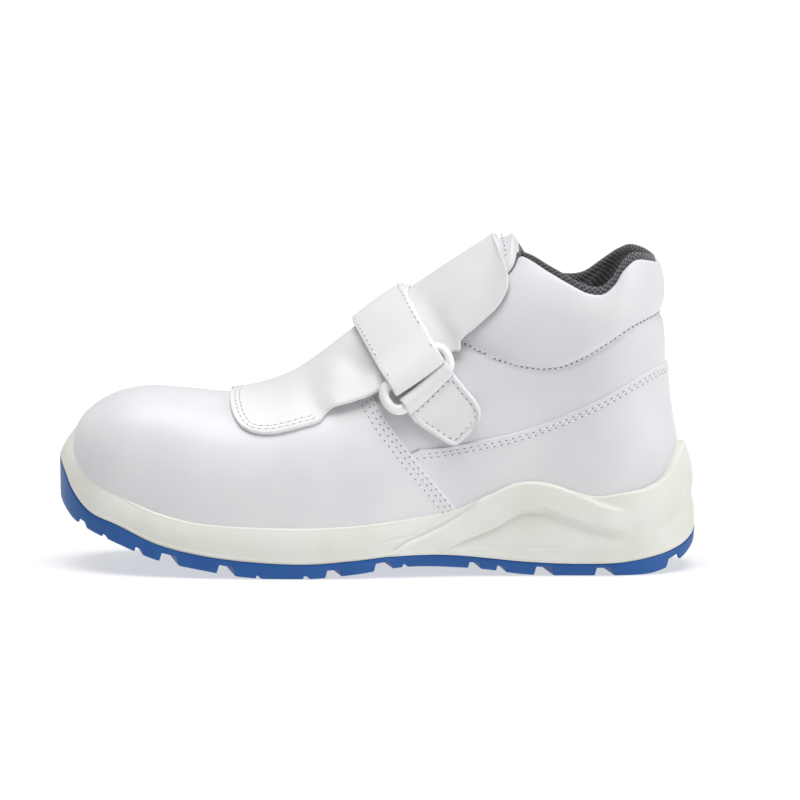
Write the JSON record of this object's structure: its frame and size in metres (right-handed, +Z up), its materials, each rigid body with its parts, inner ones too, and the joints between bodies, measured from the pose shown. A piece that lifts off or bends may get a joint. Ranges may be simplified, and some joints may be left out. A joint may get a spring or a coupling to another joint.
{
  "type": "safety boot",
  "caption": "White mid-cut safety boot for the left foot, with an instep flap, a strap through a ring, a padded collar and a lugged sole.",
  "frame": {"origin": "on the floor, under the middle of the whole boot's length and width", "axes": "+X from the toe to the heel along the sole, +Y to the inner side of the foot, +Z up"},
  "size_m": [0.3054, 0.1106, 0.1603],
  "materials": {
    "outsole_rubber": "blue moulded rubber, satin",
    "midsole_foam": "ivory foamed sole, matt",
    "insole_fabric": "grey knitted cover",
    "upper_leather": "white coated microfibre with a fine grain, satin",
    "lining_mesh": "dark grey spacer mesh",
    "tongue_leather": "white coated microfibre, satin",
    "flap_leather": "white coated microfibre, satin",
    "strap_leather": "white coated microfibre, satin",
    "ring_plastic": "white moulded plastic, half gloss",
    "tab_leather": "white coated microfibre, satin"
  },
  "bodies": {
    "root": {"outsole": "outsole_rubber", "midsole": "midsole_foam", "insole": "insole_fabric", "upper": "upper_leather", "collar_lining": "lining_mesh", "tongue": "tongue_leather", "instep_flap": "flap_leather", "strap": "strap_leather", "strap_ring": "ring_plastic", "ring_tab": "tab_leather"}
  },
  "joints": []
}
